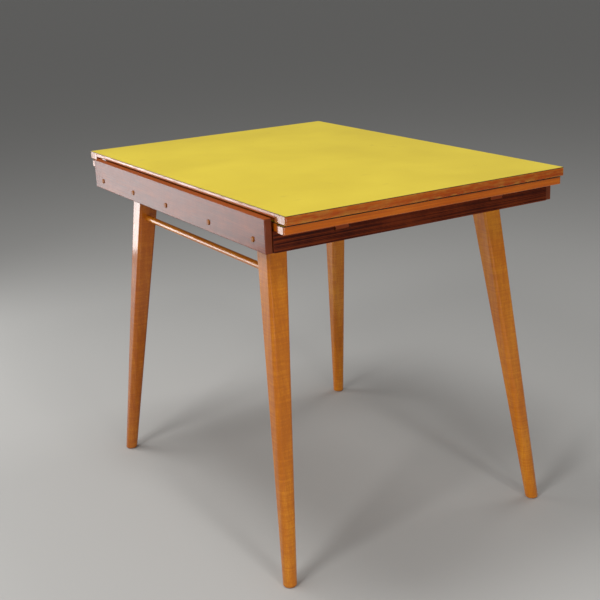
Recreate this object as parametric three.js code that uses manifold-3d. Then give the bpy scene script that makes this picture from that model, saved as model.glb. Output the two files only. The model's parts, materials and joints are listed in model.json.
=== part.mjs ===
// Draw-leaf dining table: a laminated top that floats on guide pegs, two leaves that slide out from
// under it on long runners, a frame of rails and splayed tapering legs. Millimetres, +Z up.
// The origin is on the floor under the middle of the top. The front leaf draws towards -Y.
import * as THREE from 'three';
import { mergeVertices } from 'three/addons/utils/BufferGeometryUtils.js';
import Module from 'manifold-3d';

const wasm = await Module();
wasm.setup();

// ---- driving dimensions ----
const GAP = 0.3;              // glue line or rubbing clearance between two pieces
const TABLE_HEIGHT = 760;
const TOP_WIDTH = 652;        // along X
const TOP_DEPTH = 926;        // along Y
const TOP_THICK = 17.4;
const LAMINATE_THICK = 1.2;
const CORNER_RADIUS = 2.5;    // plan corners of the top and of the leaf lippings
const END_LIPPING_DEPTH = 37.4;   // front and rear lippings of the top, along Y
const SIDE_LIPPING_WIDTH = 26;    // side lippings of the top, along X
const REBATE_WIDTH = 8;           // cut out of each side lipping's lower edge, to clear the side rail
const REBATE_CEILING = 750.7;

const RAIL_OUTER = 340;       // outer face of a side rail
const RAIL_THICK = 15;
const RAIL_END = { front: 412.5, rear: 405.5 };    // ends of a side rail, from the middle
const RAIL_BOTTOM = 684;
const RAIL_TOP = 748.6;
const APRON_PROUD = 3;        // how far an apron's face stands past the rail ends
const APRON_THICK = 18;

const LEAF_TOP = 739.9;
const LEAF_UNDERSIDE = 724.2;
const LEAF_FACE = 455;        // outer face of a leaf lipping, set back from the edge of the top
const LEAF_LIPPING_DEPTH = 24;
const LEAF_PANEL_HALF = 320;  // half width of the part that runs between the side rails
const LEAF_SIDE_LIPPING = 8;
const LEAF_CLEARANCE = 1.5;   // between a closed leaf and the centre board

const CENTRE_BOARD_HALF = 150;
const CROSS_RAIL_Y = 9;
const CROSS_RAIL_THICK = 22;
const CROSS_RAIL_BOTTOM = 686;

const RUNNER_WIDTH = 30;
const RUNNER_UNDERSIDE = 706.5;
const RUNNER_TAIL = 350;      // how far a closed leaf's runner reaches past the middle
const RUNNER_PROUD = 1.5;     // how far a closed leaf's runner stands past its apron
const RUNNER_X = { front: { left: -179, right: 190 }, rear: { left: -143, right: 151 } };
const NOTCH_SIDE_CLEARANCE = 2;   // at each side of a runner
const NOTCH_FLOOR_CLEARANCE = 1;
const LEAF_TRAVEL = 312;
const STOP_PEG_RADIUS = 5;
const STOP_PEG_DROP = 10;     // how far a stop peg stands below its runner
const STOP_PEG_COVER = 4;     // wood left over a stop peg

const GUIDE_PEG_RADIUS = 9;
const GUIDE_PEG_CLEARANCE = 0.8;
const GUIDE_PEG_X = 240;
const GUIDE_PEG_Y = 60;
const GUIDE_PEG_BOTTOM = 710;

const LEG_BLOCK_INNER = 210;
const LEG_BLOCK_NEAR_MIDDLE = 165;
const LEG_BLOCK_UNDERSIDE = 688;
const LEG_BLOCK_TOP = 720;
const LEG_TOP = { x: 261, y: 293.2, half: 22.7, corner: 5 };   // on the plane of the rail bottoms
const LEG_FOOT = { x: 318.7, y: 399.6, half: 13.9, corner: 13.9 };  // on the floor
const FOOT_ROUNDING = 4;
const LEG_SECTIONS = 7;
const FOOT_STEPS = 3;
const CORNER_STEPS = 6;

const LEG_SCREW_RADIUS = 4;
const LEG_SCREW_DEPTH = 46;
const LEG_SCREW_HEAD_RADIUS = 6.5;
const LEG_SCREW_SEAT_RADIUS = 8;
const LEG_SCREW_HEAD_THICK = 5;

const ROD_RADIUS = 7;
const ROD_HEIGHT = 616;
const ROD_TENON = 12;

const DOWEL_RADIUS = 5;
const DOWEL_LENGTH = 45;
const DOWEL_PROUD = 2;
const DOWEL_HEIGHT = 703.5;
const DOWEL_Y = [-366.5, -189, CROSS_RAIL_Y, 181, 357.5];
const OVERSHOOT = 5;          // how far a cut runs past the face it opens

// ---- sizes that follow ----
const topHalfX = TOP_WIDTH / 2;
const topHalfY = TOP_DEPTH / 2;
const topUnderside = TABLE_HEIGHT - TOP_THICK;
const topWoodFace = TABLE_HEIGHT - LAMINATE_THICK - GAP;
const endLippingInner = topHalfY - END_LIPPING_DEPTH;
const railInner = RAIL_OUTER - RAIL_THICK;
const betweenRails = railInner - GAP;
const leafLippingInner = LEAF_FACE - LEAF_LIPPING_DEPTH;
const leafWoodFace = LEAF_TOP - LAMINATE_THICK - GAP;
const leafPanelEdge = LEAF_PANEL_HALF - LEAF_SIDE_LIPPING;
const leafInner = CENTRE_BOARD_HALF + LEAF_CLEARANCE;
const supportTop = LEAF_UNDERSIDE - GAP;
const notchFloor = RUNNER_UNDERSIDE - NOTCH_FLOOR_CLEARANCE;
const notchHalf = RUNNER_WIDTH / 2 + NOTCH_SIDE_CLEARANCE;
const apronFace = { front: RAIL_END.front + APRON_PROUD, rear: RAIL_END.rear + APRON_PROUD };
const apronInner = { front: apronFace.front - APRON_THICK, rear: apronFace.rear - APRON_THICK };

// ---- materials ----
const wood = (color, roughness) => new THREE.MeshStandardMaterial({ color, roughness, metalness: 0 });
const material = {
  laminate: new THREE.MeshStandardMaterial({ color: 0xdcc53e, roughness: 0.45, metalness: 0 }),
  lipping: wood(0xa55b1c, 0.35),
  leg: wood(0xb5701c, 0.3),
  rail: wood(0x5e2413, 0.35),
  carcass: wood(0x9c6a3a, 0.6),
  core: wood(0xb08a58, 0.75),
  peg: wood(0xc18f52, 0.6),
  steel: new THREE.MeshStandardMaterial({ color: 0x9c9a94, roughness: 0.4, metalness: 1 }),
};

// ---- helpers: every geometry is drawn in the table's own frame ----

// A rectangular board between two limits on each axis; the limits can come in either order.
function board([x0, x1], [y0, y1], [z0, z1]) {
  const geometry = new THREE.BoxGeometry(Math.abs(x1 - x0), Math.abs(y1 - y0), Math.abs(z1 - z0));
  return geometry.translate((x0 + x1) / 2, (y0 + y1) / 2, (z0 + z1) / 2);
}

// A round bar of the given radius from one point to another.
function bar(from, to, radius, segments = 24) {
  const start = new THREE.Vector3(...from);
  const end = new THREE.Vector3(...to);
  const along = end.clone().sub(start);
  const geometry = new THREE.CylinderGeometry(radius, radius, along.length(), segments);
  const turn = new THREE.Quaternion().setFromUnitVectors(
    new THREE.Vector3(0, 1, 0),
    along.clone().normalize(),
  );
  const middle = start.add(end).multiplyScalar(0.5);
  return geometry.applyQuaternion(turn).translate(middle.x, middle.y, middle.z);
}

// A plan outline, drawn in X and Y, raised from z0 to z1.
function plate(outline, z0, z1) {
  const options = { depth: z1 - z0, bevelEnabled: false, curveSegments: CORNER_STEPS };
  return new THREE.ExtrudeGeometry(outline, options).translate(0, 0, z0);
}

// A closed mesh as a solid, for cuts.
function toSolid(geometry) {
  const bare = geometry.clone();
  bare.deleteAttribute('normal');
  bare.deleteAttribute('uv');
  const merged = mergeVertices(bare, 1e-4);
  return new wasm.Manifold(new wasm.Mesh({
    numProp: 3,
    vertProperties: new Float32Array(merged.attributes.position.array),
    triVerts: new Uint32Array(merged.index.array),
  }));
}

// A geometry with other geometries taken out of it.
function cut(geometry, cutters) {
  let solid = toSolid(geometry);
  for (const cutter of cutters) {
    solid = solid.subtract(toSolid(cutter));
  }
  const mesh = solid.getMesh();
  const result = new THREE.BufferGeometry();
  result.setAttribute('position', new THREE.BufferAttribute(new Float32Array(mesh.vertProperties), 3));
  result.setIndex(new THREE.BufferAttribute(new Uint32Array(mesh.triVerts), 1));
  result.computeVertexNormals();
  return result;
}

// Adds a named piece to a group, with the mesh's own origin at the middle of the piece.
function addPiece(group, name, geometry, pieceMaterial) {
  geometry.computeBoundingBox();
  const middle = geometry.boundingBox.getCenter(new THREE.Vector3());
  geometry.translate(-middle.x, -middle.y, -middle.z);
  const mesh = new THREE.Mesh(geometry, pieceMaterial);
  mesh.name = name;
  mesh.position.copy(middle);
  group.add(mesh);
}

// A rectangle in plan, with the two corners on its far (outer) edge rounded.
function endLippingOutline(halfX, inner, outer) {
  const way = Math.sign(outer);
  const turn = outer - way * CORNER_RADIUS;
  const points = [new THREE.Vector2(-halfX, inner)];
  for (const side of [-1, 1]) {
    for (let step = 0; step <= CORNER_STEPS; step += 1) {
      const part = side < 0 ? step : CORNER_STEPS - step;
      const angle = (Math.PI / 2) * (part / CORNER_STEPS);
      const x = side * (halfX - CORNER_RADIUS + CORNER_RADIUS * Math.cos(angle));
      points.push(new THREE.Vector2(x, turn + way * CORNER_RADIUS * Math.sin(angle)));
    }
  }
  points.push(new THREE.Vector2(halfX, inner));
  return points;
}

// ---- the top ----
function buildTop() {
  const group = new THREE.Group();
  const corners = [[1, 1], [-1, 1], [-1, -1], [1, -1]];
  const outline = new THREE.Shape();
  corners.forEach(([sx, sy], index) => {
    const x = sx * (topHalfX - CORNER_RADIUS);
    const y = sy * (topHalfY - CORNER_RADIUS);
    const start = index * (Math.PI / 2);
    outline.absarc(x, y, CORNER_RADIUS, start, start + Math.PI / 2, false);
  });
  const laminate = plate(outline, TABLE_HEIGHT - LAMINATE_THICK, TABLE_HEIGHT);
  addPiece(group, 'top_laminate', laminate, material.laminate);

  const coreX = topHalfX - SIDE_LIPPING_WIDTH - GAP;
  const coreY = endLippingInner - GAP;
  const core = board([-coreX, coreX], [-coreY, coreY], [topUnderside, topWoodFace]);
  addPiece(group, 'top_core', core, material.core);

  for (const [name, way] of [['front', -1], ['rear', 1]]) {
    const shape = new THREE.Shape(endLippingOutline(topHalfX, way * endLippingInner, way * topHalfY));
    addPiece(group, `top_lipping_${name}`, plate(shape, topUnderside, topWoodFace), material.lipping);
  }
  for (const [name, way] of [['left', -1], ['right', 1]]) {
    const inner = way * (topHalfX - SIDE_LIPPING_WIDTH);
    const strip = board([inner, way * topHalfX], [-coreY, coreY], [topUnderside, topWoodFace]);
    const rebate = board(
      [way * (topHalfX - REBATE_WIDTH), way * (topHalfX + OVERSHOOT)],
      [-topHalfY, topHalfY],
      [topUnderside - OVERSHOOT, REBATE_CEILING],
    );
    addPiece(group, `top_lipping_${name}`, cut(strip, [rebate]), material.lipping);
    const x = way * GUIDE_PEG_X;
    const y = way * GUIDE_PEG_Y;
    const peg = bar([x, y, GUIDE_PEG_BOTTOM], [x, y, topUnderside - GAP], GUIDE_PEG_RADIUS);
    addPiece(group, `guide_peg_${name}`, peg, material.peg);
  }
  return group;
}

// ---- a draw leaf: way is -1 for the front one and 1 for the rear one ----
function buildLeaf(end, way) {
  const group = new THREE.Group();
  const lippingPoints = endLippingOutline(topHalfX, way * leafLippingInner, way * LEAF_FACE);
  const lipping = plate(new THREE.Shape(lippingPoints), LEAF_UNDERSIDE, leafWoodFace);
  addPiece(group, `${end}_leaf_lipping`, lipping, material.lipping);

  const sheetPoints = [
    ...lippingPoints,
    new THREE.Vector2(LEAF_PANEL_HALF, way * leafLippingInner),
    new THREE.Vector2(LEAF_PANEL_HALF, way * leafInner),
    new THREE.Vector2(-LEAF_PANEL_HALF, way * leafInner),
    new THREE.Vector2(-LEAF_PANEL_HALF, way * leafLippingInner),
  ];
  const sheet = plate(new THREE.Shape(sheetPoints), LEAF_TOP - LAMINATE_THICK, LEAF_TOP);
  addPiece(group, `${end}_leaf_laminate`, sheet, material.laminate);

  const panelY = [way * leafInner, way * (leafLippingInner - GAP)];
  const panelX = leafPanelEdge - GAP;
  const panel = board([-panelX, panelX], panelY, [LEAF_UNDERSIDE, leafWoodFace]);
  addPiece(group, `${end}_leaf_panel`, panel, material.core);

  const pegY = CROSS_RAIL_Y - way * (CROSS_RAIL_THICK / 2 + STOP_PEG_RADIUS + GAP + LEAF_TRAVEL);
  for (const [side, hand] of [['left', -1], ['right', 1]]) {
    const edgeX = [hand * leafPanelEdge, hand * LEAF_PANEL_HALF];
    const edge = board(edgeX, panelY, [LEAF_UNDERSIDE, leafWoodFace]);
    addPiece(group, `${end}_leaf_lipping_${side}`, edge, material.lipping);

    const x = RUNNER_X[end][side];
    const half = RUNNER_WIDTH / 2;
    const blank = board(
      [x - half, x + half],
      [way * (apronFace[end] + RUNNER_PROUD), -way * RUNNER_TAIL],
      [RUNNER_UNDERSIDE, supportTop],
    );
    const pegTop = supportTop - STOP_PEG_COVER;
    const pegBottom = RUNNER_UNDERSIDE - STOP_PEG_DROP;
    const hole = bar([x, pegY, pegBottom], [x, pegY, pegTop + GAP], STOP_PEG_RADIUS + GAP);
    addPiece(group, `${end}_runner_${side}`, cut(blank, [hole]), material.carcass);
    const peg = bar([x, pegY, pegBottom], [x, pegY, pegTop], STOP_PEG_RADIUS);
    addPiece(group, `${end}_stop_peg_${side}`, peg, material.peg);
  }
  return group;
}

// ---- the frame ----

// The middle of a leg at a height; a leg runs straight from its foot to its top.
function legCentre(height) {
  const part = height / RAIL_BOTTOM;
  return {
    x: THREE.MathUtils.lerp(LEG_FOOT.x, LEG_TOP.x, part),
    y: THREE.MathUtils.lerp(LEG_FOOT.y, LEG_TOP.y, part),
    half: THREE.MathUtils.lerp(LEG_FOOT.half, LEG_TOP.half, part),
    corner: THREE.MathUtils.lerp(LEG_FOOT.corner, LEG_TOP.corner, part),
  };
}

// One level cross-section of a leg: a square with round corners, drawn in toward its middle by inset.
function legSection(hand, way, height, inset) {
  const { x, y, half, corner } = legCentre(height);
  const points = [];
  for (let quarter = 0; quarter < 4; quarter += 1) {
    const middle = Math.PI / 4 + quarter * (Math.PI / 2);
    const reach = (half - corner) * Math.SQRT2;
    for (let step = 0; step <= CORNER_STEPS; step += 1) {
      const angle = middle + (step / CORNER_STEPS - 0.5) * (Math.PI / 2);
      const px = hand * x + reach * Math.cos(middle) + (corner - inset) * Math.cos(angle);
      const py = way * y + reach * Math.sin(middle) + (corner - inset) * Math.sin(angle);
      points.push([px, py, height]);
    }
  }
  return points;
}

// A closed skin through level sections that have the same number of points, lowest first.
function loft(sections) {
  const count = sections[0].length;
  const positions = sections.flat(2);
  const triangles = [];
  for (let level = 0; level < sections.length - 1; level += 1) {
    for (let index = 0; index < count; index += 1) {
      const next = (index + 1) % count;
      const a = level * count + index;
      const b = level * count + next;
      triangles.push(a, b, b + count);
      triangles.push(a, b + count, a + count);
    }
  }
  const last = (sections.length - 1) * count;
  for (let index = 1; index < count - 1; index += 1) {
    triangles.push(0, index + 1, index);
    triangles.push(last, last + index, last + index + 1);
  }
  const geometry = new THREE.BufferGeometry();
  geometry.setAttribute('position', new THREE.Float32BufferAttribute(positions, 3));
  geometry.setIndex(triangles);
  return geometry;
}

// A leg with a screw hole in its top and, where a rod joins it, a socket in the face toward the middle.
function legGeometry(hand, way, screw, hasSocket) {
  const sections = [];
  for (let step = 0; step < FOOT_STEPS; step += 1) {
    const angle = (Math.PI / 2) * (step / FOOT_STEPS);
    const inset = FOOT_ROUNDING * (1 - Math.sin(angle));
    sections.push(legSection(hand, way, FOOT_ROUNDING * (1 - Math.cos(angle)), inset));
  }
  const top = LEG_BLOCK_UNDERSIDE - GAP;
  for (let level = 0; level <= LEG_SECTIONS; level += 1) {
    const height = THREE.MathUtils.lerp(FOOT_ROUNDING, top, level / LEG_SECTIONS);
    sections.push(legSection(hand, way, height, 0));
  }
  const cutters = [bar(screw.tip, screw.head, LEG_SCREW_RADIUS + GAP)];
  if (hasSocket) {
    const { x, y, half } = legCentre(ROD_HEIGHT);
    const depth = y - half + ROD_TENON + GAP;
    cutters.push(bar([hand * x, 0, ROD_HEIGHT], [hand * x, way * depth, ROD_HEIGHT], ROD_RADIUS + GAP));
  }
  return cut(loft(sections), cutters);
}

// The line of the screw that holds a leg: from its tip inside the leg to its head over the leg block.
function legScrewLine(hand, way) {
  const at = (height) => {
    const { x, y } = legCentre(height);
    return [hand * x, way * y, height];
  };
  return {
    tip: at(LEG_BLOCK_UNDERSIDE - LEG_SCREW_DEPTH),
    head: at(LEG_BLOCK_TOP - LEG_SCREW_HEAD_THICK),
    clear: at(LEG_BLOCK_TOP + LEG_SCREW_HEAD_THICK),
    seat: at(LEG_BLOCK_TOP - LEG_SCREW_HEAD_THICK - GAP),
    crown: at(LEG_BLOCK_TOP - GAP),
  };
}

// A coach screw: a plain shank with a six-sided head, as one solid.
function legScrewGeometry(screw) {
  const shank = toSolid(bar(screw.tip, screw.crown, LEG_SCREW_RADIUS));
  const head = toSolid(bar(screw.head, screw.crown, LEG_SCREW_HEAD_RADIUS, 6));
  const mesh = shank.add(head).getMesh();
  const geometry = new THREE.BufferGeometry();
  geometry.setAttribute('position', new THREE.BufferAttribute(new Float32Array(mesh.vertProperties), 3));
  geometry.setIndex(new THREE.BufferAttribute(new Uint32Array(mesh.triVerts), 1));
  return geometry;
}

// The clearance holes for the dowels through one side rail and into what stands behind it.
function dowelHoles(hand) {
  return DOWEL_Y.map((y) => bar(
    [hand * (RAIL_OUTER + OVERSHOOT), y, DOWEL_HEIGHT],
    [hand * (RAIL_OUTER - DOWEL_LENGTH), y, DOWEL_HEIGHT],
    DOWEL_RADIUS + GAP,
  ));
}

function buildFrame() {
  const group = new THREE.Group();
  const allDowelHoles = [...dowelHoles(-1), ...dowelHoles(1)];

  for (const [side, hand] of [['left', -1], ['right', 1]]) {
    const blank = board(
      [hand * railInner, hand * RAIL_OUTER],
      [-RAIL_END.front, RAIL_END.rear],
      [RAIL_BOTTOM, RAIL_TOP],
    );
    addPiece(group, `side_rail_${side}`, cut(blank, dowelHoles(hand)), material.rail);
    DOWEL_Y.forEach((y, index) => {
      const outer = [hand * (RAIL_OUTER + DOWEL_PROUD), y, DOWEL_HEIGHT];
      const inner = [hand * (RAIL_OUTER - DOWEL_LENGTH + GAP), y, DOWEL_HEIGHT];
      addPiece(group, `rail_dowel_${side}_${index + 1}`, bar(outer, inner, DOWEL_RADIUS), material.peg);
    });
  }

  for (const [end, way] of [['front', -1], ['rear', 1]]) {
    const blank = board(
      [-betweenRails, betweenRails],
      [way * apronInner[end], way * apronFace[end]],
      [RAIL_BOTTOM, supportTop],
    );
    const notches = Object.values(RUNNER_X[end]).map((x) => board(
      [x - notchHalf, x + notchHalf],
      [way * (apronInner[end] - OVERSHOOT), way * (apronFace[end] + OVERSHOOT)],
      [notchFloor, supportTop + OVERSHOOT],
    ));
    addPiece(group, `apron_${end}`, cut(blank, notches), material.rail);
  }

  const crossHalf = CROSS_RAIL_THICK / 2;
  const crossBlank = board(
    [-betweenRails, betweenRails],
    [CROSS_RAIL_Y - crossHalf, CROSS_RAIL_Y + crossHalf],
    [CROSS_RAIL_BOTTOM, supportTop],
  );
  const crossNotches = [['left', -1], ['right', 1]].map(([side, hand]) => board(
    [RUNNER_X.rear[side] - hand * notchHalf, RUNNER_X.front[side] + hand * notchHalf],
    [CROSS_RAIL_Y - crossHalf - OVERSHOOT, CROSS_RAIL_Y + crossHalf + OVERSHOOT],
    [notchFloor, supportTop + OVERSHOOT],
  ));
  const crossRail = cut(crossBlank, [...crossNotches, ...allDowelHoles]);
  addPiece(group, 'centre_cross_rail', crossRail, material.carcass);

  const pegHoles = [-1, 1].map((hand) => bar(
    [hand * GUIDE_PEG_X, hand * GUIDE_PEG_Y, GUIDE_PEG_BOTTOM],
    [hand * GUIDE_PEG_X, hand * GUIDE_PEG_Y, TABLE_HEIGHT],
    GUIDE_PEG_RADIUS + GUIDE_PEG_CLEARANCE,
  ));
  const centreBlank = board(
    [-betweenRails, betweenRails],
    [-CENTRE_BOARD_HALF, CENTRE_BOARD_HALF],
    [LEAF_UNDERSIDE, topUnderside - GAP],
  );
  addPiece(group, 'centre_board', cut(centreBlank, pegHoles), material.carcass);

  for (const [end, way] of [['front', -1], ['rear', 1]]) {
    for (const [side, hand] of [['left', -1], ['right', 1]]) {
      const place = `${end}_${side}`;
      const screw = legScrewLine(hand, way);
      const blockBlank = board(
        [hand * LEG_BLOCK_INNER, hand * betweenRails],
        [way * LEG_BLOCK_NEAR_MIDDLE, way * (apronInner[end] - GAP)],
        [LEG_BLOCK_UNDERSIDE, LEG_BLOCK_TOP],
      );
      const blockCutters = [
        ...dowelHoles(hand),
        bar(screw.tip, screw.clear, LEG_SCREW_RADIUS + GAP),
        bar(screw.seat, screw.clear, LEG_SCREW_SEAT_RADIUS),
      ];
      addPiece(group, `leg_block_${place}`, cut(blockBlank, blockCutters), material.carcass);
      addPiece(group, `leg_screw_${place}`, legScrewGeometry(screw), material.steel);
      addPiece(group, `leg_${place}`, legGeometry(hand, way, screw, hand < 0), material.leg);
    }
  }

  const { x: rodX, y: rodLegY, half: rodLegHalf } = legCentre(ROD_HEIGHT);
  const rodEnd = rodLegY - rodLegHalf + ROD_TENON;
  const rod = bar([-rodX, -rodEnd, ROD_HEIGHT], [-rodX, rodEnd, ROD_HEIGHT], ROD_RADIUS);
  addPiece(group, 'stretcher_rod', rod, material.leg);
  return group;
}

const table = new THREE.Group();
table.name = 'draw_leaf_table';
table.add(buildFrame());
table.add(buildTop());
table.add(buildLeaf('front', -1));
table.add(buildLeaf('rear', 1));

export default table;
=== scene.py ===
# Draw-leaf dining table, finished: each board, leg and peg is a closed surface worked out on rings of
# an outline, with rounded arrises, and every finish is a procedural timber, laminate or steel.
import json
import math
import bpy
import numpy as np
from mathutils import Matrix, Vector
from mathutils.geometry import tessellate_polygon


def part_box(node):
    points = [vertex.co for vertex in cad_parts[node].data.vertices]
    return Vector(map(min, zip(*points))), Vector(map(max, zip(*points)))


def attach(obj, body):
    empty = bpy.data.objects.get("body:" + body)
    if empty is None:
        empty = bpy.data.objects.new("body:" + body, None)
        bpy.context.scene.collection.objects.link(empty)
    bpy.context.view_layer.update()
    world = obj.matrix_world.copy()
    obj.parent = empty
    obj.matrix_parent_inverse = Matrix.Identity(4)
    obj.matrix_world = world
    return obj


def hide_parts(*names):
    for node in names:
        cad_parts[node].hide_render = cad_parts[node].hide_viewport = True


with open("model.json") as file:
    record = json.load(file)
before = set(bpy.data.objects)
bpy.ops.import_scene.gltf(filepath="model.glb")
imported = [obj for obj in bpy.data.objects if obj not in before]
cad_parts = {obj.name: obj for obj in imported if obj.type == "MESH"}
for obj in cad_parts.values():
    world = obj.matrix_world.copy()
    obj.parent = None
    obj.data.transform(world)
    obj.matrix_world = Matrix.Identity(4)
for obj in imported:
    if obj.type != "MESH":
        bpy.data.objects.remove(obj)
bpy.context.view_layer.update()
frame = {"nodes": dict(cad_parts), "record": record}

MM = 0.001
BODY_OF = {node: body for body, nodes in frame["record"]["behaviour"]["bodies"].items() for node in nodes}
SIDES = ("left", "right")
ENDS = ("front", "rear")
DOWELS = range(1, 6)
AXES = {"x": "yzx", "y": "xzy", "z": "xyz"}    # the two directions across a piece, then the one along it

# ---- making, in millimetres ----
TOP_CORNER = 2.5          # plan corners of the top and the leaf lippings
SOFT_ARRIS = 1.6          # long edges of lippings and rails, eased by hand
CRISP_ARRIS = 0.5         # edges that meet another piece
FINE_ARRIS = 0.3          # edges of the panels, and the ends of the top's side lippings
SEAT_ARRIS = 0.1          # edge of an end lipping that the laminate is glued to
SIDE_SEAT_ARRIS = 0.15    # the same on a side lipping
LAMINATE_BEVEL = 0.45     # filed edge of the laminate, which shows its dark core
LAMINATE_EDGE = 0.1       # sawn lower edge of the laminate
PRINT_MARGIN = 0.25       # strip beside the bevel where the print is thin
WEAR_WIDTH = 3.0          # how far rubbing reaches from an arris
REBATE_WIDTH = 8.0        # cut from the lower outer edge of the top's side lippings
REBATE_CEILING = 750.7    # height of its upper face above the floor
REBATE_ARRIS = 1.0
BOARD_CORNER = 1.0        # plan corners of the fixed board under the top
NOTCH_SIDE = 2.0          # clearance at each side of a runner where it passes a rail
NOTCH_FLOOR = 1.0         # and below it
NOTCH_CORNER = 1.2
DOWEL_GAP = 0.4           # round a dowel in its hole
DOWEL_HOLE_EDGE = 0.25
PEG_CLEARANCE = 0.8       # round a guide peg, which has to slide
LEG_TOP_HALF = 22.75      # half the side of a leg's square head
LEG_TOP_CORNER = 5.0
FOOT_RADIUS = 13.9
FOOT_ROUNDING = 4.0

# ---- meshing ----
LEAST_RADIUS = 0.05       # what is left of a round corner where an inset is deeper than its radius
LEAST_FLAT = 0.01         # what is left of a leg's flat sides where it turns into a circle
LEG_SECTIONS = 24
END_SECTION = 20.0        # from the rounded end of a leg to the nearest of those sections
MOST_FADE = 0.3           # the part of a side that the fading of its wear may take up
FACING = 0.7              # how much of a normal points one way before its face counts as facing it
GRAIN_STEP = (0.37, 0.53, 0.71)    # metres between the boards' places in the tree
GRAIN_ROW = 7             # steps in the second direction before it starts again


# ---- outlines: functions of height and inset that give boundary points, outward normals and a
# rubbed-edge mask, anticlockwise ----

def polygon(corners, radii, steps=6):
    """A polygon with round corners. The inset moves each side inwards along its normal, takes its own
    length off the radius of a round corner and adds it to that of a hollow one. Each corner is an arc
    tangent to its two sides: centre plus radius times the turning normal, or minus it where the corner is
    hollow. A point on each side, the wear width from the arc, is where the rubbed-edge mask fades to 0. It
    keeps its place as the inset grows, as long as that leaves it on its own half of the side."""
    corners = np.asarray(corners, float)
    radii = np.broadcast_to(radii, len(corners)).astype(float)
    sides = np.roll(corners, -1, 0) - corners
    lengths = np.linalg.norm(sides, axis=1)
    along = sides / lengths[:, None]
    outward = np.column_stack([along[:, 1], -along[:, 0]])
    arriving, facing = np.roll(along, 1, 0), np.roll(outward, 1, 0)
    cross = arriving[:, 0] * along[:, 1] - arriving[:, 1] * along[:, 0]
    turn = np.arctan2(cross, (arriving * along).sum(1))
    half = np.tan(turn / 2)
    angles = np.arctan2(facing[:, 1], facing[:, 0])[:, None] + turn[:, None] * np.linspace(0, 1, steps + 1)
    arcs = np.stack([np.cos(angles), np.sin(angles)], axis=2)
    normals = np.concatenate([arcs[:, :1], arcs, arcs[:, -1:]], axis=1).reshape(-1, 2)
    rubbed = np.tile([0.0, *np.ones(steps + 1), 0.0], len(corners))
    fade = np.minimum(WEAR_WIDTH, MOST_FADE * lengths)
    faded_first = radii * abs(half) + fade
    faded_last = lengths - np.roll(radii * abs(half), -1) - fade

    def outline(height, inset):
        bend = np.maximum(radii - np.sign(turn) * inset, LEAST_RADIUS)
        start = half * inset + bend * abs(half)
        finish = lengths - np.roll(start, -1)
        room = finish - start
        margin = np.minimum(LEAST_RADIUS, 0.1 * room)
        first = np.clip(faded_first, start + margin, start + 0.45 * room)
        last = np.clip(faded_last, start + 0.55 * room, finish - margin)
        moved = corners - outward * inset
        bulge = (np.sign(turn) * bend)[:, None]
        centres = moved + along * start[:, None] - outward * bulge
        befores = np.roll(moved + along * last[:, None], 1, 0)
        afters = moved + along * first[:, None]
        rounds = centres[:, None] + bulge[:, None] * arcs
        points = np.concatenate([befores[:, None], rounds, afters[:, None]], axis=1).reshape(-1, 2)
        return points, normals, rubbed

    return outline


def rectangle(x0, x1, y0, y1, radii, steps=6):
    """Four corners, anticlockwise from the lowest."""
    return polygon([(x0, y0), (x1, y0), (x1, y1), (x0, y1)], radii, steps)


def circle(x, y, radius, hollow=False, count=48):
    """Centre plus radius times (cos, sin). A hollow one runs clockwise and its normals point inwards."""
    angles = np.linspace(0, 2 * math.pi, count, endpoint=False)
    ring = np.column_stack([np.cos(angles), np.sin(angles)])
    side, way = (ring[::-1], -1) if hollow else (ring, 1)
    return lambda height, inset: ((x, y) + (radius - way * inset) * side, way * side, np.ones(count))


# ---- rings: (inset, height, outward part of normal, upward part, rubbed-edge mask), lowest first ----

def edge_rings(low, high, arris_low, arris_high, steps=4):
    """Height runs from low to high. At each end the wall turns in over a quarter circle: inset is
    arris * (1 - sin), height is arris * (1 - cos) from the end."""
    angles = np.linspace(0, math.pi / 2, steps + 1)
    fade = min(WEAR_WIDTH, MOST_FADE * (high - low - arris_low - arris_high))
    end_fade = WEAR_WIDTH / 2
    rings = [(arris_low + end_fade, low, 0, -1, 0)]
    for angle in angles:
        s, c = math.sin(angle), math.cos(angle)
        rings.append((arris_low * (1 - s), low + arris_low * (1 - c), s, -c, 1))
    rings.append((0, low + arris_low + fade, 1, 0, 0))
    rings.append((0, high - arris_high - fade, 1, 0, 0))
    for angle in angles[::-1]:
        s, c = math.sin(angle), math.cos(angle)
        rings.append((arris_high * (1 - s), high - arris_high * (1 - c), s, c, 1))
    rings.append((arris_high + end_fade, high, 0, 1, 0))
    return rings


def columns(along):
    """The numbers of the two axes across a piece, then of the one along it."""
    return ["xyz".index(axis) for axis in AXES[along]]


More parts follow.
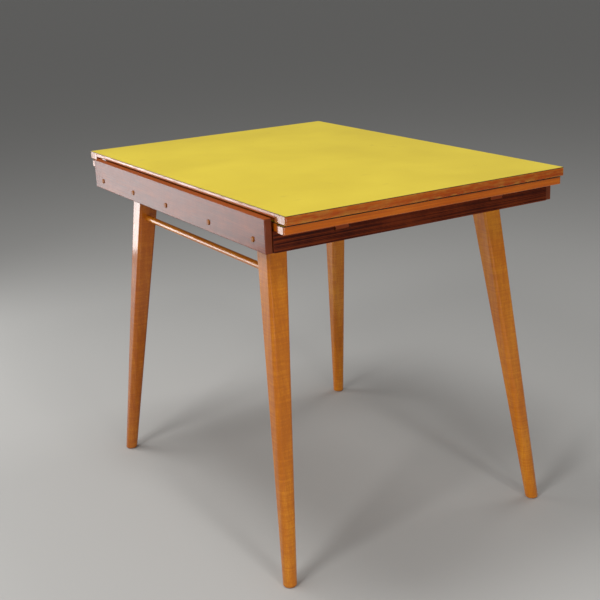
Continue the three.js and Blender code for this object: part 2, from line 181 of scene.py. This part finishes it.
def ringed(loops, through="z"):
    """A closed solid between two flat ends. A loop is (outline, rings), and each ring is the outline at
    its own inset and height. The first loop is the outside and the others are holes. through says which
    way the height runs on the object. A point is rubbed as much as its outline or its ring says, whichever
    is more, but not on the flat of an end."""
    points, normals, rubbed, faces, ends = [], [], [], [], ([], [])
    base = 0
    for outline, rings in loops:
        for inset, height, outward, upward, edge in rings:
            border, normal, mask = outline(height, inset)
            count = len(border)
            points.append(np.hstack([border, np.full((count, 1), height)]))
            normals.append(np.hstack([normal * outward, np.full((count, 1), upward)]))
            rubbed.append(np.maximum(mask, edge) if 0 < outward or edge else np.zeros(count))
        index = np.arange(count)
        following = (index + 1) % count
        for ring in range(len(rings) - 1):
            low, high = base + ring * count, base + (ring + 1) * count
            quads = np.column_stack([low + index, low + following, high + following, high + index])
            faces += quads.tolist()
        ends[0].append(base + index)
        ends[1].append(base + (len(rings) - 1) * count + index)
        base += count * len(rings)
    points = np.vstack(points)
    normals = np.vstack(normals)
    for end, upward in zip(ends, (-1, 1)):
        order = np.concatenate(end)
        flat = [[Vector((*points[i][:2], 0)) for i in loop] for loop in end]
        for triangle in tessellate_polygon(flat):
            a, b, c = (order[i] for i in triangle)
            ab, ac = points[b] - points[a], points[c] - points[a]
            area = ab[0] * ac[1] - ab[1] * ac[0]
            faces.append([a, b, c] if area * upward > 0 else [a, c, b])
    turn = np.eye(3)[columns(through)]
    if np.linalg.det(turn) < 0:
        faces = [face[::-1] for face in faces]
    return points @ turn, normals @ turn, np.concatenate(rubbed), faces


def box_mm(node):
    """A node's lowest and highest corners in millimetres."""
    low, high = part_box(node)
    return np.array(low) / MM, np.array(high) / MM


# ---- pieces ----

def add_piece(node, surface, material, along="x", **masks):
    """Makes the object that stands for a CAD node. 'grain' holds each point's place in the timber, in
    metres: two directions across it and one along it, measured from the piece's middle and shifted by a
    step of its own, so no two boards come from the same place in the tree. A mask is a value from 0 to 1
    at each point, kept under its own name."""
    points, normals, rubbed, faces = surface
    mesh = bpy.data.meshes.new(node)
    mesh.from_pydata((points * MM).tolist(), [], [tuple(int(i) for i in face) for face in faces])
    units = normals / np.linalg.norm(normals, axis=1, keepdims=True)
    mesh.normals_split_custom_set_from_vertices(units.tolist())
    middle = (points.min(0) + points.max(0)) / 2
    number = sorted(BODY_OF).index(node)
    shift = np.array(GRAIN_STEP) * (number, number % GRAIN_ROW, number)
    grain = (points - middle)[:, columns(along)] * MM + shift
    mesh.attributes.new("grain", "FLOAT_VECTOR", "POINT").data.foreach_set("vector", grain.ravel())
    end_grain = abs(normals[:, "xyz".index(along)]) > FACING
    for name, mask in {"rubbed": rubbed, "end": end_grain, **masks}.items():
        mesh.attributes.new(name, "FLOAT", "POINT").data.foreach_set("value", mask.astype(float))
    mesh.materials.append(material)
    piece = bpy.data.objects.new(node + "_finished", mesh)
    bpy.context.scene.collection.objects.link(piece)
    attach(piece, BODY_OF[node])
    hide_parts(node)


def board(node, material, along, arris=SOFT_ARRIS, end_arris=CRISP_ARRIS):
    """The node's own box: its cross-section with round arrises, carried along its length."""
    low, high = box_mm(node)
    p, q, r = columns(along)
    outline = rectangle(low[p], high[p], low[q], high[q], arris, steps=4)
    rings = edge_rings(low[r], high[r], end_arris, end_arris)
    add_piece(node, ringed([(outline, rings)], along), material, along)


def turned(node, material, along, end_arris=1.0):
    """A circle carried along one axis, its ends eased over a quarter circle."""
    low, high = box_mm(node)
    p, q, r = columns(along)
    middle = (low + high) / 2
    outline = circle(middle[p], middle[q], (high[q] - low[q]) / 2)
    rings = edge_rings(low[r], high[r], end_arris, end_arris, steps=5)
    add_piece(node, ringed([(outline, rings)], along), material, along)


def lay_end_lipping(node, material, laminate_above):
    """Plan outline with its two outer corners round; it runs up to the sheet of laminate above it."""
    low, high = box_mm(node)
    radii = [TOP_CORNER, TOP_CORNER, CRISP_ARRIS, CRISP_ARRIS]
    if low[1] > 0:
        radii.reverse()
    outline = rectangle(low[0], high[0], low[1], high[1], radii, steps=10)
    rings = edge_rings(low[2], box_mm(laminate_above)[0][2], SOFT_ARRIS, SEAT_ARRIS)
    add_piece(node, ringed([(outline, rings)]), material, "x")


def lay_side_lipping(node, material, laminate_above):
    """An L-shaped section, the rebate cut from its lower outer corner, carried along Y."""
    low, high = box_mm(node)
    bottom, top = low[2], box_mm(laminate_above)[0][2]
    way = math.copysign(1, low[0])
    inner, outer = (low[0], high[0]) if way > 0 else (high[0], low[0])
    step = outer - way * REBATE_WIDTH
    corners = [(inner, bottom), (step, bottom), (step, REBATE_CEILING), (outer, REBATE_CEILING),
               (outer, top), (inner, top)]
    radii = [CRISP_ARRIS, CRISP_ARRIS, CRISP_ARRIS, REBATE_ARRIS, SIDE_SEAT_ARRIS, CRISP_ARRIS]
    if way < 0:
        corners.reverse()
        radii.reverse()
    rings = edge_rings(low[1], high[1], FINE_ARRIS, FINE_ARRIS)
    add_piece(node, ringed([(polygon(corners, radii, steps=4), rings)], "y"), material, "y")


def lay_laminate(node, outline, material, decor_edge=1.0):
    """A pressed sheet with a filed bevel. 'decor' is 1 on its printed face and 0 on its dark core; decor_edge
    is its value just beside the bevel. At 1 the print stays whole there, and a low value leaves a dark strip
    round the edge, which is painted shade."""
    low, high = box_mm(node)
    under, face = low[2], high[2]
    rings = [
        (WEAR_WIDTH, under, 0, -1, 0),
        (LAMINATE_EDGE, under, 0.3, -1, 0),
        (0, under + LAMINATE_EDGE, 1, -0.3, 0),
        (0, face - LAMINATE_BEVEL, 1, 0, 1),
        (0.35 * LAMINATE_BEVEL, face - 0.3 * LAMINATE_BEVEL, 0.75, 0.65, 1),
        (LAMINATE_BEVEL, face, 0, 1, 1),
        (LAMINATE_BEVEL + PRINT_MARGIN, face, 0, 1, 1),
        (LAMINATE_BEVEL + WEAR_WIDTH, face, 0, 1, 0),
    ]
    decor = np.repeat([0, 0, 0, 0, 0, 0, decor_edge, 1], len(outline(0, 0)[0]))
    add_piece(node, ringed([(outline, rings)]), material, "x", decor=decor)


def top_outline():
    """The top in plan, a rectangle with its four corners eased."""
    low, high = box_mm("top_laminate")
    return rectangle(low[0], high[0], low[1], high[1], TOP_CORNER, steps=10)


def leaf_outline(end):
    """A T in plan: as wide as the lipping at the outer edge, then narrow enough to pass the side rails.
    The rear leaf is the front one turned round."""
    low, high = box_mm(f"{end}_leaf_laminate")
    lipping_low, lipping_high = box_mm(f"{end}_leaf_lipping")
    front = end == "front"
    outer, step, inner = (low[1], lipping_high[1], high[1]) if front else (high[1], lipping_low[1], low[1])
    hand = 1 if front else -1
    wide = hand * high[0]
    narrow = hand * box_mm(f"{end}_leaf_lipping_right")[1][0]
    corners = [(-wide, outer), (wide, outer), (wide, step), (narrow, step),
               (narrow, inner), (-narrow, inner), (-narrow, step), (-wide, step)]
    return polygon(corners, [TOP_CORNER] * 2 + [CRISP_ARRIS] * 6, steps=10)


def notched_rail(node, runners, material):
    """The rail's face with a slot cut down from its top edge for each group of runners, carried through
    its thickness along Y."""
    low, high = box_mm(node)
    corners = [(low[0], low[2]), (high[0], low[2]), (high[0], high[2])]
    radii = [CRISP_ARRIS] * 3
    for group in sorted(runners, key=lambda names: -box_mm(names[0])[0][0]):
        boxes = [box_mm(name) for name in group]
        right = max(box[1][0] for box in boxes) + NOTCH_SIDE
        left = min(box[0][0] for box in boxes) - NOTCH_SIDE
        floor = boxes[0][0][2] - NOTCH_FLOOR
        corners += [(right, high[2]), (right, floor), (left, floor), (left, high[2])]
        radii += [CRISP_ARRIS, NOTCH_CORNER, NOTCH_CORNER, CRISP_ARRIS]
    corners.append((low[0], high[2]))
    radii.append(CRISP_ARRIS)
    rings = edge_rings(low[1], high[1], CRISP_ARRIS, CRISP_ARRIS)
    add_piece(node, ringed([(polygon(corners, radii, steps=4), rings)], "y"), material, "x")


def drilled_rail(side, material):
    """A side rail, its outline in Y and Z carried through its thickness along X, with the dowel holes. Its
    top edge, which the top slides down past, is left from the plane."""
    node = f"side_rail_{side}"
    low, high = box_mm(node)
    loops = [(rectangle(low[1], high[1], low[2], high[2], CRISP_ARRIS, steps=4),
              edge_rings(low[0], high[0], SOFT_ARRIS, SOFT_ARRIS))]
    hole_rings = edge_rings(low[0], high[0], DOWEL_HOLE_EDGE, DOWEL_HOLE_EDGE, steps=2)
    for number in DOWELS:
        dowel_low, dowel_high = box_mm(f"rail_dowel_{side}_{number}")
        y, z = (dowel_low + dowel_high)[1:] / 2
        radius = (dowel_high[1] - dowel_low[1]) / 2 + DOWEL_GAP
        loops.append((circle(y, z, radius, hollow=True), hole_rings))
    surface = ringed(loops, "x")
    top_edge = surface[1][:, 2] > FACING
    add_piece(node, surface, material, "y", planed=top_edge)


def drilled_board(node, pegs, material):
    """A level board, its plan outline carried up through its thickness, with a hole for each peg."""
    low, high = box_mm(node)
    loops = [(rectangle(low[0], high[0], low[1], high[1], BOARD_CORNER, steps=4),
              edge_rings(low[2], high[2], CRISP_ARRIS, CRISP_ARRIS))]
    hole_rings = edge_rings(low[2], high[2], CRISP_ARRIS, CRISP_ARRIS, steps=3)
    for peg in pegs:
        peg_low, peg_high = box_mm(peg)
        x, y = (peg_low + peg_high)[:2] / 2
        radius = (peg_high[1] - peg_low[1]) / 2 + PEG_CLEARANCE
        loops.append((circle(x, y, radius, hollow=True), hole_rings))
    add_piece(node, ringed(loops), material, "x")


def leg(node, material):
    """Level sections of a rounded square. Its middle, half width and corner radius each run in a straight
    line from the foot, where it is a full circle, to the top. The foot turns in over a quarter circle."""
    low, high = box_mm(node)
    hand, way = math.copysign(1, low[0]), math.copysign(1, low[1])
    inner = np.minimum(abs(low), abs(high))
    outer = np.maximum(abs(low), abs(high))
    foot = (outer - FOOT_RADIUS)[:2] * (hand, way)
    head = (inner + LEG_TOP_HALF)[:2] * (hand, way)

    def section(height, inset):
        part = (height - low[2]) / (high[2] - low[2])
        middle = foot + (head - foot) * part
        half = FOOT_RADIUS + (LEG_TOP_HALF - FOOT_RADIUS) * part
        corner = min(half - LEAST_FLAT, FOOT_RADIUS + (LEG_TOP_CORNER - FOOT_RADIUS) * part)
        return rounded_square(middle, half, corner, inset)

    ends = edge_rings(low[2], high[2], FOOT_ROUNDING, CRISP_ARRIS, steps=6)
    heights = np.linspace(low[2] + FOOT_ROUNDING + END_SECTION, high[2] - END_SECTION, LEG_SECTIONS)
    between = [(0, height, 1, 0, 0) for height in heights]
    foot_end = len(ends) // 2
    surface = ringed([(section, ends[:foot_end] + between + ends[foot_end:])])
    add_piece(node, surface, material, "z")


def rounded_square(middle, half, corner, inset, steps=12):
    """The arc of each corner: its hub, half less the corner radius from the middle both ways, plus radius
    less inset times the normal."""
    points, normals = [], []
    for quarter, way in zip((2, 3, 0, 1), ((-1, -1), (1, -1), (1, 1), (-1, 1))):
        angles = math.pi / 2 * (quarter + np.linspace(0, 1, steps + 1))
        arc = np.column_stack([np.cos(angles), np.sin(angles)])
        hub = middle + (half - corner) * np.array(way)
        points.append(hub + (corner - inset) * arc)
        normals.append(arc)
    return np.vstack(points), np.vstack(normals), np.zeros(4 * (steps + 1))


def plate(node, material):
    """Gives a CAD node that stays as it is a finish of its own."""
    slots = frame["nodes"][node].data.materials
    slots.clear()
    slots.append(material)


# ---- materials ----

NOISE_SPREAD = {"From Min": 0.3, "From Max": 0.7}    # nearly all of a noise lies between these

# The figure of a timber, as (width across the grain in mm, length along it in mm, strength). Real fibres
# and rays are a tenth of a millimetre wide: here they are coarse enough to show.
BEECH = {
    "fibres": (1.1, 60, 0.45),
    "bands": (9, 800, 0.5),
    "cloud": (70, 220, 0.7),
    "ripple": (45, 3.5, 0.5),
    "ray": (1.2, 9, 0.1),
}
STRAIGHT_BEECH = {**BEECH, "fibres": (1.1, 90, 0.6), "bands": (3.5, 500, 0.7), "ripple": (45, 12, 0.1)}
SAPELE = {
    "fibres": (0.9, 40, 0.6),
    "bands": (3.0, 160, 0.5),
    "cloud": (40, 90, 0.6),
    "ripple": (30, 12, 0.2),
    "ray": (0.7, 6, 0.2),
}
RIBBON_SAPELE = {**SAPELE, "fibres": (0.9, 90, 0.7), "bands": (1.9, 700, 1.7)}

# Spots of bare wood where the lacquer is rubbed off, per metre: about 7 mm wide and 22 mm long.
BARE_SPOTS = (150.0, 150.0, 45.0)
FILM_WAVES = 160.0        # per metre: brush waves in the lacquer, 6 mm apart

# Patterns of the laminate, per metre.
PRINT_CLOUDS = 6.0        # slow drift of the print, 170 mm
PRINT_SMUDGES = 23.0      # faint marks, 45 mm apart
EDGE_CHIPS = 38.0         # rubbed spots along the bevel, 25 mm apart
PLATE_SPECKS = 700.0      # satin of the pressing plate, 1.4 mm, coarser than it is so that it shows

ZINC_SPANGLE = 400.0      # per metre: mottling of the zinc, 2.5 mm, coarser than it is so that it shows


def linear(code):
    """sRGB hex to linear RGBA."""
    values = [int(code[i:i + 2], 16) / 255 for i in (1, 3, 5)]
    return [v / 12.92 if v <= 0.04045 else ((v + 0.055) / 1.055) ** 2.4 for v in values] + [1.0]


def add(tree, kind, sockets=(), stops=(), **settings):
    """Adds a node. sockets maps an input to a value or to another node's output, and stops fills a ramp.
    An input goes by its number where several share a name: a Mix of colours has its factor at 0 and its
    two colours at 6 and 7."""
    node = tree.nodes.new("ShaderNode" + kind)
    for name, value in settings.items():
        setattr(node, name, value)
    for index, (place, colour) in enumerate(stops):
        ramp = node.color_ramp.elements
        stop = ramp[index] if index < 2 else ramp.new(place)
        stop.position = place
        stop.color = linear(colour) if isinstance(colour, str) else [colour] * 3 + [1]
    for name, value in dict(sockets).items():
        if isinstance(value, bpy.types.NodeSocket):
            tree.links.new(value, node.inputs[name])
        else:
            node.inputs[name].default_value = value
    return node


def new_material(name):
    """An empty material and its node tree."""
    material = bpy.data.materials.new(name)
    material.use_nodes = True
    material.node_tree.nodes.clear()
    return material, material.node_tree


def timber(name, figure, tones, end, lacquer, roughness, bare="#b07c44", worn=0.0, rubbed_off=0.3):
    """A hardwood under lacquer. tones are its colours from dark to light, end its end grain and bare the
    wood where the lacquer is gone. In its figure, fibres are the fine streaks, bands the growth or ribbon
    stripes, cloud the slow drift of the stain, ripple the soft bars across the grain, and ray the short
    dark dashes. lacquer is the weight of the gloss film, which lies on wood of nearly its own IOR, so the
    wood under it adds little shine. worn is how much of a face is bare, rubbed_off how much of an arris."""
    material, tree = new_material(name)
    dark, mid, light = tones
    grain = add(tree, "Attribute", attribute_name="grain").outputs["Vector"]
    rubbed = add(tree, "Attribute", attribute_name="rubbed").outputs["Fac"]
    across_end = add(tree, "Attribute", attribute_name="end").outputs["Fac"]
    planed = add(tree, "Attribute", attribute_name="planed").outputs["Fac"]

    # The layers of the figure add up to one tone, which stays centred on the middle colour.
    layers = {}
    tone = 0.5 - 0.5 * sum(strength for _, _, strength in figure.values())
    for seed, (layer, (across, along, strength)) in enumerate(figure.items()):
        size = (1000 / across, 1000 / across, 1000 / along)
        start = (seed * 3.7, seed * 1.9, seed)
        place = add(tree, "Mapping", {"Vector": grain, "Location": start, "Scale": size}).outputs[0]
        sockets = {"Vector": place, "Scale": 1.0, "Detail": 2.5, "Roughness": 0.5, "Distortion": 0.15}
        layers[layer] = add(tree, "TexNoise", sockets).outputs[0]
        sockets = {0: layers[layer], 1: strength, 2: tone}
        tone = add(tree, "Math", sockets, operation="MULTIPLY_ADD").outputs[0]
    colour = add(tree, "ValToRGB", {0: tone}, [(0.3, dark), (0.7, light), (0.5, mid)]).outputs[0]
    dash = add(tree, "ValToRGB", {0: layers["ray"]}, [(0.62, 0.0), (0.72, 0.35)]).outputs[0]
    colour = add(tree, "Mix", {0: dash, 6: colour, 7: linear(dark)}, data_type="RGBA").outputs[2]
    end_share = add(tree, "Math", {0: across_end, 1: 0.75}, operation="MULTIPLY").outputs[0]
    colour = add(tree, "Mix", {0: end_share, 6: colour, 7: linear(end)}, data_type="RGBA").outputs[2]

    # Bare wood in spots, where it is worn or rubbed, and all over a planed edge.
    place = add(tree, "Mapping", {"Vector": grain, "Scale": BARE_SPOTS}).outputs[0]
    spot = add(tree, "TexNoise", {"Vector": place, "Scale": 1.0, "Detail": 4.0, "Roughness": 0.6}).outputs[0]
    spot = add(tree, "ValToRGB", {0: spot}, [(0.44, 0.0), (0.64, 1.0)]).outputs[0]
    most = add(tree, "Math", {0: rubbed, 1: rubbed_off, 2: worn}, operation="MULTIPLY_ADD").outputs[0]
    share = add(tree, "Math", {0: spot, 1: most}, operation="MULTIPLY", use_clamp=True).outputs[0]
    share = add(tree, "Math", {0: share, 1: planed}, operation="MAXIMUM").outputs[0]
    colour = add(tree, "Mix", {0: share, 6: colour, 7: linear(bare)}, data_type="RGBA").outputs[2]

    # The film is thinner where the fibres drink it and where the wood is bare, and drifts with the cloud.
    sockets = {"Value": layers["fibres"], **NOISE_SPREAD, "To Min": 1.2, "To Max": 0.8}
    soaked = add(tree, "MapRange", sockets).outputs[0]
    sockets = {"Value": layers["cloud"], **NOISE_SPREAD, "To Min": 0.8 * lacquer, "To Max": 1.2 * lacquer}
    drift = add(tree, "MapRange", sockets).outputs[0]
    film = add(tree, "Math", {0: soaked, 1: drift}, operation="MULTIPLY").outputs[0]
    kept = add(tree, "Math", {0: 1.0, 1: share}, operation="SUBTRACT").outputs[0]
    film = add(tree, "Math", {0: film, 1: kept}, operation="MULTIPLY", use_clamp=True).outputs[0]

    sockets = {"Value": layers["cloud"], **NOISE_SPREAD,
               "To Min": roughness - 0.05, "To Max": roughness + 0.08}
    uneven = add(tree, "MapRange", sockets).outputs[0]
    pores = add(tree, "Bump", {"Strength": 0.3, "Distance": 0.0003, "Height": layers["fibres"]}).outputs[0]
    waves = add(tree, "TexNoise", {"Vector": grain, "Scale": FILM_WAVES, "Detail": 1.0}).outputs[0]
    waves = add(tree, "Bump", {"Strength": 0.1, "Distance": 0.0004, "Height": waves}).outputs[0]
    shader = add(tree, "BsdfPrincipled", {
        "Base Color": colour,
        "Roughness": uneven,
        "IOR": 1.5,
        "Specular IOR Level": 0.1 if lacquer else 0.4,
        "Normal": pores,
        "Coat Weight": film,
        "Coat Roughness": 0.1,
        "Coat IOR": 1.5,
        "Coat Normal": waves,
    })
    add(tree, "OutputMaterial", {0: shader.outputs[0]})
    return material


def laminate_sheet():
    """High-pressure laminate, pressed against a satin plate: melamine face over brown phenolic paper. It
    gives a flat, even yellow with a wide soft sheen, and a thin dark line all round its edge."""
    material, tree = new_material("melamine_laminate_yellow")
    place = add(tree, "TexCoord").outputs["Object"]
    decor = add(tree, "Attribute", attribute_name="decor").outputs["Fac"]
    rubbed = add(tree, "Attribute", attribute_name="rubbed").outputs["Fac"]
    cloud = add(tree, "TexNoise", {"Vector": place, "Scale": PRINT_CLOUDS, "Detail": 3.0}).outputs[0]
    speck = add(tree, "TexNoise", {"Vector": place, "Scale": PLATE_SPECKS, "Detail": 1.0}).outputs[0]
    face = add(tree, "ValToRGB", {0: cloud}, [(0.35, "#dbc22c"), (0.65, "#e0c834")]).outputs[0]
    smudge = add(tree, "TexNoise", {"Vector": place, "Scale": PRINT_SMUDGES, "Detail": 2.0}).outputs[0]
    smudge = add(tree, "ValToRGB", {0: smudge}, [(0.70, 0.0), (0.82, 0.3)]).outputs[0]
    face = add(tree, "Mix", {0: smudge, 6: face, 7: linear("#b99e35")}, data_type="RGBA").outputs[2]
    sockets = {"Vector": place, "Scale": EDGE_CHIPS, "Detail": 4.0, "Roughness": 0.7}
    grime = add(tree, "TexNoise", sockets).outputs[0]
    chips = add(tree, "ValToRGB", {0: grime}, [(0.52, 0.0), (0.68, 0.7)]).outputs[0]
    worn = add(tree, "Math", {0: chips, 1: rubbed}, operation="MULTIPLY").outputs[0]
    face = add(tree, "Mix", {0: worn, 6: face, 7: linear("#b79a3a")}, data_type="RGBA").outputs[2]
    core = add(tree, "ValToRGB", {0: grime}, [(0.3, "#2a160c"), (0.7, "#5b3418")]).outputs[0]
    # Where the print mask is low the dark core colour shows: at the bevel this is the real core, and at the
    # leaves' edges it is painted shade.
    colour = add(tree, "Mix", {0: decor, 6: core, 7: face}, data_type="RGBA").outputs[2]
    gloss = add(tree, "MapRange", {"Value": cloud, **NOISE_SPREAD, "To Min": 0.38, "To Max": 0.46}).outputs[0]
    satin = add(tree, "Bump", {"Strength": 0.05, "Distance": 0.0002, "Height": speck}).outputs[0]
    sockets = {"Base Color": colour, "Roughness": gloss, "IOR": 1.5, "Normal": satin}
    shader = add(tree, "BsdfPrincipled", sockets)
    add(tree, "OutputMaterial", {0: shader.outputs[0]})
    return material


def zinc_steel():
    """Zinc-plated screws: drawn steel under a dull passivated film, which gives a soft mottled grey."""
    material, tree = new_material("zinc_plated_steel")
    place = add(tree, "TexCoord").outputs["Object"]
    mottle = add(tree, "TexNoise", {"Vector": place, "Scale": ZINC_SPANGLE, "Detail": 3.0}).outputs[0]
    colour = add(tree, "ValToRGB", {0: mottle}, [(0.3, "#77736b"), (0.7, "#aaa79e")]).outputs[0]
    gloss = add(tree, "MapRange", {"Value": mottle, "To Min": 0.32, "To Max": 0.55}).outputs[0]
    shader = add(tree, "BsdfPrincipled", {"Base Color": colour, "Roughness": gloss, "Metallic": 1.0})
    add(tree, "OutputMaterial", {0: shader.outputs[0]})
    return material


# Legs and rod: beech under a thick amber lacquer, warm and glossy, with faint bars across the grain.
leg_beech = timber("amber_lacquered_beech", BEECH, ("#bc6606", "#cb7408", "#da8a14"),
                   end="#9a5216", lacquer=0.8, roughness=0.38)
# The rear left leg: the same gloss and figure in a deeper amber. This darker copy of the leg finish is
# painted shade for the less light that reaches that leg.
shaded_leg_beech = timber("amber_beech_painted_shade", BEECH, ("#a04e04", "#b05c06", "#c07010"),
                        end="#9a5216", lacquer=0.8, roughness=0.38)
# Lippings of the top, handled most: the red-brown lacquer is broken by spots of dry pale wood.
lipping_beech = timber("worn_lacquered_beech", STRAIGHT_BEECH, ("#a04004", "#b25006", "#c26410"),
                       end="#8a4a1c", lacquer=0.85, roughness=0.38, bare="#b87e38", worn=0.42, rubbed_off=0.5)
# Lippings of the leaves, mostly covered: the same lacquer, whole, orange and glossy.
leaf_beech = timber("lacquered_beech_lipping", STRAIGHT_BEECH, ("#b85406", "#ca640a", "#da7616"),
                    end="#965018", lacquer=1.0, roughness=0.34, bare="#ac6a30")
# Side rails: sapele under a thin film, red-brown, which mirrors pale light at a low angle.
rail_sapele = timber("lacquered_sapele", SAPELE, ("#5a200c", "#743018", "#8c4424"),
                     end="#743a22", lacquer=0.22, roughness=0.38, bare="#94481c", rubbed_off=0.2)
# Aprons: quarter-sawn sapele, nearly matt, with dark ribbon stripes along it.
apron_sapele = timber("lacquered_ribbon_sapele", RIBBON_SAPELE, ("#320a01", "#561b05", "#742e09"),
                      end="#401408", lacquer=0.12, roughness=0.45, bare="#6c2c10")
# Hidden blocks and boards: beech straight from the plane, pale and dry.
carcass_beech = timber("planed_beech", BEECH, ("#9a6c3c", "#b88c58", "#cba576"),
                       end="#8c6238", lacquer=0.0, roughness=0.6)
# Runners: beech stained to go with the rails under a thin film, duller than the lippings.
runner_beech = timber("stained_beech_runner", BEECH, ("#6a2c0e", "#803c16", "#945022"),
                      end="#84381a", lacquer=0.2, roughness=0.5, bare="#803c16")
# Panels under the laminate: blockboard faced with plain veneer, pale and dry.
blockboard = timber("veneered_blockboard", BEECH, ("#a57a45", "#c19a62", "#d3b27e"),
                    end="#9c7548", lacquer=0.0, roughness=0.6)
# Dowels and pegs: turned beech, which shows darker end grain.
dowel_beech = timber("beech_dowel", BEECH, ("#8a4a0e", "#a25c14", "#b67024"),
                     end="#925010", lacquer=0.1, roughness=0.5)
laminate = laminate_sheet()
steel = zinc_steel()


# ---- the table ----

def build_top():
    """The loose top: laminate, core, four lippings and the pegs that hold it in place."""
    lay_laminate("top_laminate", top_outline(), laminate)
    for end in ENDS:
        lay_end_lipping(f"top_lipping_{end}", lipping_beech, "top_laminate")
    for side in SIDES:
        lay_side_lipping(f"top_lipping_{side}", lipping_beech, "top_laminate")
        turned(f"guide_peg_{side}", dowel_beech, "z")
    board("top_core", blockboard, "y", FINE_ARRIS, FINE_ARRIS)


def build_leaf(end):
    """A draw leaf with its two runners and their stop pegs."""
    # Little print is left at the edge of the leaves' laminate. The dark strip there is painted shade for the
    # gap under the top.
    lay_laminate(f"{end}_leaf_laminate", leaf_outline(end), laminate, decor_edge=0.1)
    lay_end_lipping(f"{end}_leaf_lipping", leaf_beech, f"{end}_leaf_laminate")
    board(f"{end}_leaf_panel", blockboard, "x", FINE_ARRIS, FINE_ARRIS)
    for side in SIDES:
        board(f"{end}_leaf_lipping_{side}", leaf_beech, "y", arris=0.6)
        board(f"{end}_runner_{side}", runner_beech, "y", arris=1.2, end_arris=0.6)
        turned(f"{end}_stop_peg_{side}", dowel_beech, "z")


def build_frame():
    """Rails, aprons, legs with their blocks and screws, the cross rail and board between, and the rod."""
    for side in SIDES:
        drilled_rail(side, rail_sapele)
        for number in DOWELS:
            turned(f"rail_dowel_{side}_{number}", dowel_beech, "x", end_arris=0.5)
    for end in ENDS:
        notched_rail(f"apron_{end}", [[f"{end}_runner_{side}"] for side in SIDES], apron_sapele)
        for side in SIDES:
            # The rear left leg takes the darker copy, its painted shade.
            leg(f"leg_{end}_{side}", shaded_leg_beech if (end, side) == ("rear", "left") else leg_beech)
            board(f"leg_block_{end}_{side}", carcass_beech, "y", arris=2.0, end_arris=1.0)
            plate(f"leg_screw_{end}_{side}", steel)
    pairs = [[f"{end}_runner_{side}" for end in ENDS] for side in SIDES]
    notched_rail("centre_cross_rail", pairs, carcass_beech)
    drilled_board("centre_board", [f"guide_peg_{side}" for side in SIDES], carcass_beech)
    turned("stretcher_rod", leg_beech, "y")


build_top()
for leaf_end in ENDS:
    build_leaf(leaf_end)
build_frame()


# ---- studio, in metres, degrees and watts ----

FLOOR_REACH = 60.0
SENSOR_WIDTH = 36.0       # millimetres


def stage_floor():
    """A plain pale painted floor, matt and even: a square far larger than the view."""
    corners = [(-FLOOR_REACH, -FLOOR_REACH, 0), (FLOOR_REACH, -FLOOR_REACH, 0),
               (FLOOR_REACH, FLOOR_REACH, 0), (-FLOOR_REACH, FLOOR_REACH, 0)]
    mesh = bpy.data.meshes.new("studio_floor")
    mesh.from_pydata(corners, [], [(0, 1, 2, 3)])
    material, tree = new_material("painted_floor")
    shader = add(tree, "BsdfPrincipled", {"Base Color": linear("#b8b7b4"), "Roughness": 0.7})
    add(tree, "OutputMaterial", {0: shader.outputs[0]})
    mesh.materials.append(material)
    floor = bpy.data.objects.new("studio_floor", mesh)
    bpy.context.scene.collection.objects.link(floor)


def soft_light(name, place, target, size, power):
    """A white rectangular soft box that faces a point."""
    data = bpy.data.lights.new(name, "AREA")
    data.shape = "RECTANGLE"
    data.size, data.size_y = size
    data.energy = power
    light = bpy.data.objects.new(name, data)
    light.location = place
    light.visible_camera = False
    light.rotation_euler = (Vector(target) - Vector(place)).to_track_quat("-Z", "Y").to_euler()
    bpy.context.scene.collection.objects.link(light)


def set_world(strength):
    """Even white light from all round."""
    world = bpy.data.worlds.new("studio")
    world.use_nodes = True
    background = world.node_tree.nodes["Background"]
    background.inputs["Color"].default_value = linear("#ffffff")
    background.inputs["Strength"].default_value = strength
    bpy.context.scene.world = world


def place_camera(place, heading, pitch, roll, lens):
    """heading turns from +Y towards +X and pitch goes from level upwards; lens is in millimetres."""
    data = bpy.data.cameras.new("camera")
    data.lens = lens
    data.sensor_width = SENSOR_WIDTH
    data.clip_end = 200.0
    camera = bpy.data.objects.new("camera", data)
    aim = Matrix.Rotation(math.radians(-heading), 4, "Z") @ Matrix.Rotation(math.radians(90 + pitch), 4, "X")
    camera.matrix_world = Matrix.Translation(place) @ aim @ Matrix.Rotation(math.radians(roll), 4, "Z")
    bpy.context.scene.collection.objects.link(camera)
    bpy.context.scene.camera = camera


stage_floor()
soft_light("overhead", place=(-0.7, 0.3, 3.4), target=(0, 0, 0.7), size=(1.1, 1.1), power=43)
soft_light("high_right", place=(1.5, 0.2, 3.3), target=(0, 0, 0.6), size=(1.0, 1.0), power=14)
# The low panel behind is what the left faces mirror, and the low box in front draws the legs' arrises.
soft_light("low_back_panel", place=(-1.4, 1.85, 0.5), target=(-0.3, 0, 0.5), size=(1.08, 0.9), power=18)
soft_light("low_front_box", place=(-0.5, -2.6, 0.5), target=(-0.2, 0, 0.8), size=(0.4, 0.75), power=14)
soft_light("high_front", place=(-0.1, -2.8, 3.1), target=(0, 0, 0.5), size=(0.35, 0.35), power=14)
soft_light("high_left", place=(-2.4, -1.0, 2.5), target=(0, 0, 0.5), size=(0.8, 0.8), power=36)
set_world(strength=0.2)
place_camera(place=(-1.2480, -2.0648, 1.1868), heading=30.52, pitch=-17.369, roll=-2.596, lens=65.8632)
bpy.context.scene.view_settings.view_transform = "Standard"
